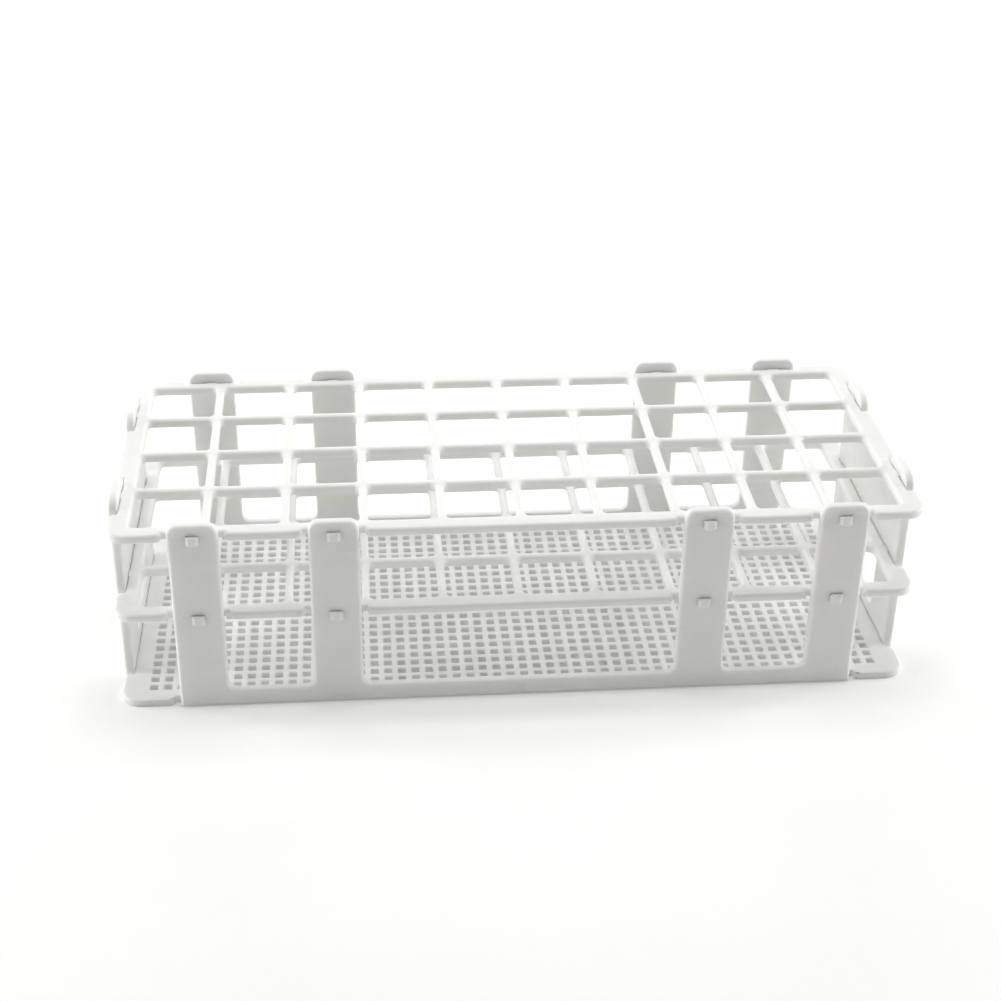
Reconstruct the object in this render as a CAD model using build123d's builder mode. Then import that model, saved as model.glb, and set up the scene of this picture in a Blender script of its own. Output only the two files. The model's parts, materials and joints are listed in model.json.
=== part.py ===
from build123d import *
import os

# Snap-together test tube rack for 40 tubes, moulded in polypropylene, all sizes in millimetres.
# X runs along the rack, Y from front to back and Z up. The origin is on the resting surface, at the centre.

os.makedirs("parts", exist_ok=True)

# Wells: square holes in the top and middle shelves, one above the other
columns, rows = 10, 4
well = 21.0
well_corner = 1.8
column_bar = 2.5
row_bar = 2.7
column_pitch = well + column_bar
row_pitch = well + row_bar

# Shelf levels, given at the upper surfaces
top_level, top_thickness = 61.0, 2.6
middle_level, middle_thickness = 33.4, 2.6
bottom_thickness = 2.4

# Shelf outline: fingers stand out between the uprights, seats are the floors of the notches
finger_x, finger_y = 122.8, 51.7
seat_x, seat_y = 120.2, 49.7
outline_corner = 6.0
finger_round = 1.9
notch_gap = 1.8

# Panels
panel_thickness = 3.0
panel_fit = 0.05
panel_bottom = 0.4
panel_top = 64.3
rail_top = 5.6
upright_width = 15.0
upright_places = (-97.2, -56.0, 56.0, 97.2)
leg_width = 18.0
leg_places = (-27.0, 27.0)
upright_round = 3.0
leg_round = 4.5
window_round = 3.0
plate_round = 1.2
panel_length = 2 * upright_places[-1] + upright_width
end_length = 2 * leg_places[-1] + leg_width
plate_bottom, plate_top = 28.0, 58.2
outer_edge_round, inner_edge_round = 1.0, 0.6

# Snap lugs: each passes through a slot, and its barbed head with bevelled sides stands out beyond the panel
lug_width = 3.6
lug_root = 1.0
head_clearance, head_length = 0.05, 1.15
head_barb, head_shoulder = 0.25, 0.2
head_bevel = 0.9
head_start = panel_fit + panel_thickness + head_clearance
lug_reach = head_start + head_length
slot_fit = 0.05
slot_width = lug_width + 2 * slot_fit

# Blind tabs that hold the bottom shelf to the rails
tab_width, tab_reach = 6.0, 1.3
pocket_depth, pocket_fit = 1.3, 0.2

# Mesh of the bottom shelf
mesh_columns, mesh_rows = 54, 22
mesh_pitch = 4.28
mesh_hole = 2.5

# Rounding of the shelf edges and the gate mark on the long rails
shelf_edge_round, rim_underside_round = 1.0, 0.5
gate_radius, gate_depth = 1.5, 0.15

# Tolerance for picking edges and corners by their place
near = 0.1


def side_places(reach_x, reach_y, on_long_sides, on_ends):
    """Places on the four sides of a shelf, each turned so that its own +Y points outwards."""
    places = []
    for x in on_long_sides:
        places += [Location((x, reach_y), 0), Location((x, -reach_y), 180)]
    for y in on_ends:
        places += [Location((reach_x, y), -90), Location((-reach_x, y), 90)]
    return places


lug_places = side_places(seat_x, seat_y, upright_places, leg_places)


def shelf_outline(long_notches, end_notches):
    """Outline of a shelf with notches given as (centre, width) pairs, for the long sides and the ends."""
    with BuildSketch() as outline:
        RectangleRounded(2 * finger_x, 2 * finger_y, outline_corner)
        for side in (-1, 1):
            for centre, width in long_notches:
                with Locations((centre, side * finger_y)):
                    Rectangle(width, 2 * (finger_y - seat_y), mode=Mode.SUBTRACT)
            for centre, width in end_notches:
                with Locations((side * finger_x, centre)):
                    Rectangle(2 * (finger_x - seat_x), width, mode=Mode.SUBTRACT)
        on_rim = [v for v in outline.vertices()
                  if abs(abs(v.Y) - finger_y) < near or abs(abs(v.X) - finger_x) < near]
        finger_ends = [v for v in on_rim
                       if abs(v.X) < finger_x - outline_corner - near and abs(v.Y) > seat_y
                       or abs(v.Y) < finger_y - outline_corner - near and abs(v.X) > seat_x]
        fillet(finger_ends, finger_round)
    return outline.sketch


def lug_outline():
    """Plan of one lug, rooted on y = 0 and pointing along +Y, with a barbed head that narrows to its tip."""
    shank, head = lug_width / 2, lug_width / 2 + head_barb
    with BuildSketch() as lug:
        with BuildLine():
            Polyline((0, -lug_root), (shank, -lug_root), (shank, head_start), (head, head_start),
                     (head, head_start + head_shoulder), (head - head_bevel, lug_reach),
                     (0, lug_reach), close=True)
        make_face()
        mirror(about=Plane.YZ)
    return lug.sketch


upright_notches = [(x, upright_width + 2 * notch_gap) for x in upright_places]
leg_notches = [(y, leg_width + 2 * notch_gap) for y in leg_places]
end_notch = [(0, end_length + 2 * notch_gap)]
rail_notch = [(0, panel_length + 2 * notch_gap)]


def well_grid():
    """All the wells of a shelf, cut out of the sketch being built."""
    with GridLocations(column_pitch, row_pitch, columns, rows):
        RectangleRounded(well, well, well_corner, mode=Mode.SUBTRACT)


def round_edges(shelf):
    """Rounds all the upper edges of a shelf, and the underside of its outer rim."""
    fillet(shelf.edges().group_by(Axis.Z)[-1], shelf_edge_round)
    underside = shelf.faces().sort_by(Axis.Z)[0]
    fillet(underside.outer_wire().edges(), rim_underside_round)


# Top shelf: fingers between the uprights and between the legs of the end panels
with BuildPart() as top_shelf:
    with BuildSketch(Plane.XY.offset(top_level - top_thickness)):
        add(shelf_outline(upright_notches, leg_notches))
        well_grid()
    extrude(amount=top_thickness)
    round_edges(top_shelf)
    with BuildSketch(Plane.XY.offset(top_level - top_thickness)):
        with Locations(*lug_places):
            add(lug_outline())
    extrude(amount=top_thickness)
top_shelf.part.label = "top_shelf"
export_step(top_shelf.part, "parts/top_shelf.step")


# Middle shelf: the same grid, with one broad notch at each end for the plate of the end panel
with BuildPart() as middle_shelf:
    with BuildSketch(Plane.XY.offset(middle_level - middle_thickness)):
        add(shelf_outline(upright_notches, end_notch))
        well_grid()
    extrude(amount=middle_thickness)
    round_edges(middle_shelf)
    with BuildSketch(Plane.XY.offset(middle_level - middle_thickness)):
        with Locations(*lug_places):
            add(lug_outline())
    extrude(amount=middle_thickness)
middle_shelf.part.label = "middle_shelf"
export_step(middle_shelf.part, "parts/middle_shelf.step")


# Bottom shelf: a fine square mesh with a plain rim, set back behind the rails of the four panels
with BuildPart() as bottom_shelf:
    with BuildSketch():
        add(shelf_outline(rail_notch, end_notch))
        with GridLocations(mesh_pitch, mesh_pitch, mesh_columns, mesh_rows):
            Rectangle(mesh_hole, mesh_hole, mode=Mode.SUBTRACT)
        with Locations(*lug_places):
            Rectangle(tab_width, 2 * tab_reach)
    extrude(amount=bottom_thickness)
bottom_shelf.part.label = "bottom_shelf"
export_step(bottom_shelf.part, "parts/bottom_shelf.step")


def lug_slots(places):
    """Slots for the lugs of the top and middle shelves, cut out of the sketch of a panel."""
    for level, thickness in ((top_level, top_thickness), (middle_level, middle_thickness)):
        with Locations(*[(place, level - thickness / 2) for place in places]):
            Rectangle(slot_width, thickness + 2 * slot_fit, mode=Mode.SUBTRACT)


def tab_pockets(places):
    """Outlines of the blind pockets for the tabs of the bottom shelf, in the sketch being built."""
    with Locations(*[(place, 0) for place in places]):
        Rectangle(tab_width + 2 * pocket_fit, 2 * (bottom_thickness + pocket_fit))


def corners_between(face, lowest, highest):
    """Corners of a panel's outline from one height to another."""
    return face.vertices().filter_by_position(Axis.Y, lowest - near, highest + near)


# Front panel: four uprights on a bottom rail
front_inner = Plane.XZ.offset(seat_y + panel_fit)
with BuildPart() as front_panel:
    with BuildSketch(front_inner) as front_face:
        with Locations((0, panel_bottom)):
            Rectangle(panel_length, rail_top - panel_bottom, align=(Align.CENTER, Align.MIN))
        with Locations(*[(x, panel_bottom) for x in upright_places]):
            Rectangle(upright_width, panel_top - panel_bottom, align=(Align.CENTER, Align.MIN))
        fillet(corners_between(front_face, panel_top, panel_top), upright_round)
        fillet(corners_between(front_face, rail_top, rail_top), window_round)
    extrude(amount=panel_thickness)
    fillet(front_panel.faces().sort_by(Axis.Y)[0].edges(), outer_edge_round)
    fillet(front_panel.faces().sort_by(Axis.Y)[-1].edges(), inner_edge_round)
    with BuildSketch(front_inner) as front_slots:
        Rectangle(panel_length, 2 * panel_top)
        lug_slots(upright_places)
    extrude(amount=panel_thickness, mode=Mode.INTERSECT)
    with BuildSketch(front_inner):
        tab_pockets(upright_places)
    extrude(amount=pocket_depth, mode=Mode.SUBTRACT)
    outer_face = -seat_y - panel_fit - panel_thickness
    with Locations(Location((0, outer_face, (panel_bottom + rail_top) / 2), (90, 0, 0))):
        Cylinder(gate_radius, 2 * gate_depth, mode=Mode.SUBTRACT)
front_panel.part.label = "front_panel"
export_step(front_panel.part, "parts/front_panel.step")

# Back panel: the same moulding turned half round
with BuildPart() as back_panel:
    add(front_panel.part.rotate(Axis.Z, 180))
back_panel.part.label = "back_panel"
export_step(back_panel.part, "parts/back_panel.step")


# Right end panel: two legs joined by a bottom rail and a plate, with a window below the middle shelf
right_inner = Plane.YZ.offset(seat_x + panel_fit)
with BuildPart() as right_end_panel:
    with BuildSketch(right_inner) as right_face:
        gap = end_length - 2 * leg_width
        with Locations((0, panel_bottom)):
            Rectangle(end_length, panel_top - panel_bottom, align=(Align.CENTER, Align.MIN))
        with Locations((0, rail_top)):
            Rectangle(gap, plate_bottom - rail_top, align=(Align.CENTER, Align.MIN), mode=Mode.SUBTRACT)
        with Locations((0, plate_top)):
            Rectangle(gap, panel_top, align=(Align.CENTER, Align.MIN), mode=Mode.SUBTRACT)
        fillet(corners_between(right_face, panel_top, panel_top), leg_round)
        fillet(corners_between(right_face, rail_top, plate_bottom), window_round)
        fillet(corners_between(right_face, plate_top, plate_top), plate_round)
    extrude(amount=panel_thickness)
    fillet(right_end_panel.faces().sort_by(Axis.X)[-1].edges(), outer_edge_round)
    fillet(right_end_panel.faces().sort_by(Axis.X)[0].edges(), inner_edge_round)
    with BuildSketch(right_inner):
        Rectangle(end_length, 2 * panel_top)
        lug_slots(leg_places)
    extrude(amount=panel_thickness, mode=Mode.INTERSECT)
    with BuildSketch(right_inner):
        tab_pockets(leg_places)
    extrude(amount=pocket_depth, mode=Mode.SUBTRACT)
right_end_panel.part.label = "right_end_panel"
export_step(right_end_panel.part, "parts/right_end_panel.step")

# Left end panel: the same moulding turned half round
with BuildPart() as left_end_panel:
    add(right_end_panel.part.rotate(Axis.Z, 180))
left_end_panel.part.label = "left_end_panel"
export_step(left_end_panel.part, "parts/left_end_panel.step")
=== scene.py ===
import json
import math

import bpy
from mathutils import Matrix, Vector


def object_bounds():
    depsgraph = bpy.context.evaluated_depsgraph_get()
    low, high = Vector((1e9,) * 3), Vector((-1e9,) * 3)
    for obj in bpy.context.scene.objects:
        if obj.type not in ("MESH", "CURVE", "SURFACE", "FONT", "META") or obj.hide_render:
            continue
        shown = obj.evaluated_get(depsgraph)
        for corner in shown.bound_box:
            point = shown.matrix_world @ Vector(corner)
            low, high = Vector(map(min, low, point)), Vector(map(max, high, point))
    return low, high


# Looks of a snap-together polypropylene test tube rack, in metres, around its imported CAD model.

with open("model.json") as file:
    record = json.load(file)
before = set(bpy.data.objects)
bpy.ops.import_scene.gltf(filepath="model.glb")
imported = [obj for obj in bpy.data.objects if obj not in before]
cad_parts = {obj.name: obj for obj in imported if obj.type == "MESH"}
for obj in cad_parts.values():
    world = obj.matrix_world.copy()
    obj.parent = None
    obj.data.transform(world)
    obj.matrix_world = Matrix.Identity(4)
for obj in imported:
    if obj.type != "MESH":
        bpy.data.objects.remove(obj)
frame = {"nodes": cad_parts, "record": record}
cad_low, cad_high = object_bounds()
mm = 0.001
white = (1.0, 1.0, 1.0, 1.0)


# Camera: looks down at the front of the rack from slightly to the left of its middle
def make_camera():
    azimuth, elevation, roll = math.radians(-5.21), math.radians(29.73), math.radians(0.86)
    aim = Vector((-2.2 * mm, 0.0, 39.8 * mm))
    distance = 580.3 * mm
    back = Vector((math.sin(azimuth) * math.cos(elevation),
                   -math.cos(azimuth) * math.cos(elevation),
                   math.sin(elevation)))
    level_right = Vector((math.cos(azimuth), math.sin(azimuth), 0.0))
    level_up = back.cross(level_right)
    right = math.cos(roll) * level_right + math.sin(roll) * level_up
    up = math.cos(roll) * level_up - math.sin(roll) * level_right
    data = bpy.data.cameras.new("camera")
    data.sensor_width = 36.0
    data.lens = 63.82
    data.clip_start = 10 * mm
    data.clip_end = 50.0
    camera = bpy.data.objects.new("camera", data)
    bpy.context.scene.collection.objects.link(camera)
    rotation = Matrix((right, up, back)).transposed()
    camera.matrix_world = Matrix.Translation(aim + distance * back) @ rotation.to_4x4()
    bpy.context.scene.camera = camera


def set_inputs(made, **values):
    """Sets the defaults of a node's inputs by name, with _ for each space."""
    for name, value in values.items():
        made.inputs[name.replace("_", " ")].default_value = value


def node(tree, kind, properties=None, **inputs):
    """A new shader node, with its properties and the defaults of its inputs set by name."""
    made = tree.nodes.new(kind)
    for name, value in (properties or {}).items():
        setattr(made, name, value)
    set_inputs(made, **inputs)
    return made


def link(tree, source, output, target, socket):
    tree.links.new(source.outputs[output], target.inputs[socket])


def new_material(name):
    """A new node material, with its tree and its shader."""
    material = bpy.data.materials.new(name)
    material.use_nodes = True
    return material, material.node_tree, material.node_tree.nodes["Principled BSDF"]


# Light: softboxes overhead, on both sides and behind, in a faint white world
def softbox(name, place, target, size, watts, colour):
    data = bpy.data.lights.new(name, "AREA")
    data.shape = "RECTANGLE"
    data.size, data.size_y = size
    data.energy = watts
    data.color = colour
    light = bpy.data.objects.new(name, data)
    bpy.context.scene.collection.objects.link(light)
    light.location = place
    light.rotation_mode = "QUATERNION"
    light.rotation_quaternion = (Vector(target) - Vector(place)).to_track_quat("-Z", "Y")
    light.visible_camera = False


def make_light():
    foot = (0.0, 0.0, 0.0)
    middle = (0.0, 0.0, 0.03)
    softbox("overhead", place=(0.0, 0.08, 1.2), target=foot, size=(1.2, 0.9),
            watts=9.0, colour=(1.0, 1.0, 0.99))
    for side in (-1, 1):
        softbox(f"side_{side}", place=(side * 1.3, 0.15, 0.4), target=middle, size=(0.9, 0.7),
                watts=13.0, colour=(1.0, 0.99, 0.97))
    softbox("behind", place=(0.0, 1.5, 0.5), target=middle, size=(1.4, 0.7),
            watts=8.0, colour=(0.99, 1.0, 1.0))
    world = bpy.data.worlds.new("studio")
    world.use_nodes = True
    set_inputs(world.node_tree.nodes["Background"], Color=white, Strength=0.03)
    bpy.context.scene.world = world
    bpy.context.scene.view_settings.view_transform = "Standard"


# Floor: matt white paper under the rack, with a faint glow that keeps it pale
def make_floor():
    half = 6.0
    corners = [(-half, -half, 0), (half, -half, 0), (half, half, 0), (-half, half, 0)]
    mesh = bpy.data.meshes.new("floor")
    mesh.from_pydata(corners, [], [(0, 1, 2, 3)])
    floor = bpy.data.objects.new("floor", mesh)
    floor.location.z = cad_low.z
    bpy.context.scene.collection.objects.link(floor)
    material, tree, shader = new_material("floor_paper")
    set_inputs(shader, Base_Color=(0.97, 0.97, 0.97, 1.0), Roughness=0.9, Specular_IOR_Level=0.1,
               Emission_Color=white, Emission_Strength=0.11)
    mesh.materials.append(material)


def edge_mask(tree, rounded):
    """Rises from 0 to 1 where the rounded normal leaves the face's own normal, at an edge."""
    geometry = node(tree, "ShaderNodeNewGeometry")
    dot = node(tree, "ShaderNodeVectorMath", {"operation": "DOT_PRODUCT"})
    link(tree, rounded, "Normal", dot, 0)
    link(tree, geometry, "Normal", dot, 1)
    edge = node(tree, "ShaderNodeMapRange", From_Min=0.98, From_Max=0.75)
    link(tree, dot, "Value", edge, "Value")
    return edge


def flow_streaks(tree, place):
    """Fine noise drawn out along the rack, as the melt flowed."""
    stretch = node(tree, "ShaderNodeMapping", Scale=(0.12, 1.0, 1.0))
    link(tree, place, "Object", stretch, "Vector")
    streaks = node(tree, "ShaderNodeTexNoise", Scale=420.0, Detail=3.0, Roughness=0.6)
    link(tree, stretch, "Vector", streaks, "Vector")
    return streaks


def mottled_colour(tree, shader, colour, place, streaks, edge):
    """The plastic's colour: broad faint mottle, fainter streaks, and lighter worn edges."""
    darkest, streak_depth, edge_gain = 0.965, 0.05, 1.06
    mottle = node(tree, "ShaderNodeTexNoise", Scale=60.0, Detail=4.0, Roughness=0.55)
    link(tree, place, "Object", mottle, "Vector")
    base = node(tree, "ShaderNodeValToRGB")
    dark, pale = base.color_ramp.elements
    dark.position, pale.position = 0.3, 0.7
    dark.color = (*[darkest * channel for channel in colour], 1.0)
    pale.color = (*colour, 1.0)
    link(tree, mottle, "Fac", base, "Fac")
    streaked = node(tree, "ShaderNodeMix", {"data_type": "RGBA", "blend_type": "MULTIPLY"},
                    Factor=streak_depth)
    link(tree, base, "Color", streaked, "A")
    link(tree, streaks, "Color", streaked, "B")
    edge_colour = (*[min(1.0, edge_gain * channel) for channel in colour], 1.0)
    worn = node(tree, "ShaderNodeMix", {"data_type": "RGBA", "blend_type": "MIX"}, B=edge_colour)
    link(tree, edge, "Result", worn, "Factor")
    link(tree, streaked, "Result", worn, "A")
    link(tree, worn, "Result", shader, "Base Color")


def satin_finish(tree, shader, roughness, streaks):
    """Roughness that varies a little with the streaks."""
    satin = node(tree, "ShaderNodeMapRange", To_Min=roughness - 0.06, To_Max=roughness + 0.08)
    link(tree, streaks, "Fac", satin, "Value")
    link(tree, satin, "Result", shader, "Roughness")


def moulded_surface(tree, shader, place, rounded):
    """Relief on the rounded normal: fine mould grain, and a broad shallow ripple over it."""
    surface = rounded
    for size, strength, depth in ((2600.0, 0.25, 0.02 * mm), (150.0, 0.4, 0.25 * mm)):
        noise = node(tree, "ShaderNodeTexNoise", Scale=size, Detail=2.0)
        link(tree, place, "Object", noise, "Vector")
        relief = node(tree, "ShaderNodeBump", Strength=strength, Distance=depth)
        link(tree, noise, "Fac", relief, "Height")
        link(tree, surface, "Normal", relief, "Normal")
        surface = relief
    link(tree, surface, "Normal", shader, "Normal")


def polypropylene(name, colour, roughness, see_through):
    """Natural white polypropylene with a satin mould finish, faint flow streaks and softly worn edges."""
    material, tree, shader = new_material(name)
    set_inputs(shader, IOR=1.49, Subsurface_Weight=see_through, Subsurface_Radius=(1.0, 0.98, 0.92),
               Subsurface_Scale=2.0 * mm)
    place = node(tree, "ShaderNodeTexCoord")
    rounded = node(tree, "ShaderNodeBevel", {"samples": 4}, Radius=0.35 * mm)
    streaks = flow_streaks(tree, place)
    mottled_colour(tree, shader, colour, place, streaks, edge_mask(tree, rounded))
    satin_finish(tree, shader, roughness, streaks)
    moulded_surface(tree, shader, place, rounded)
    return material


def round_mesh_edges(shelf):
    """Softens the moulded edges of the mesh and its rim, which the CAD leaves sharp."""
    weld = shelf.modifiers.new("weld", "WELD")
    weld.merge_threshold = 0.005 * mm
    rounding = shelf.modifiers.new("rounding", "BEVEL")
    rounding.width = 0.3 * mm
    rounding.segments = 2
    rounding.limit_method = "ANGLE"
    rounding.angle_limit = math.radians(40.0)
    rounding.use_clamp_overlap = False


def finish_pieces():
    """Gives each CAD node the plastic that its record names."""
    finishes = {
        "shelf_plastic": polypropylene("shelf_polypropylene", (0.93, 0.935, 0.915), 0.42, 0.75),
        "panel_plastic": polypropylene("panel_polypropylene", (0.93, 0.935, 0.92), 0.45, 0.75)}
    for part in frame["record"]["subparts"]:
        cad_node = frame["nodes"][part["node"]]
        cad_node.data.materials.clear()
        cad_node.data.materials.append(finishes[part["material_slot"]])


make_camera()
make_light()
make_floor()
round_mesh_edges(frame["nodes"]["bottom_shelf"])
finish_pieces()
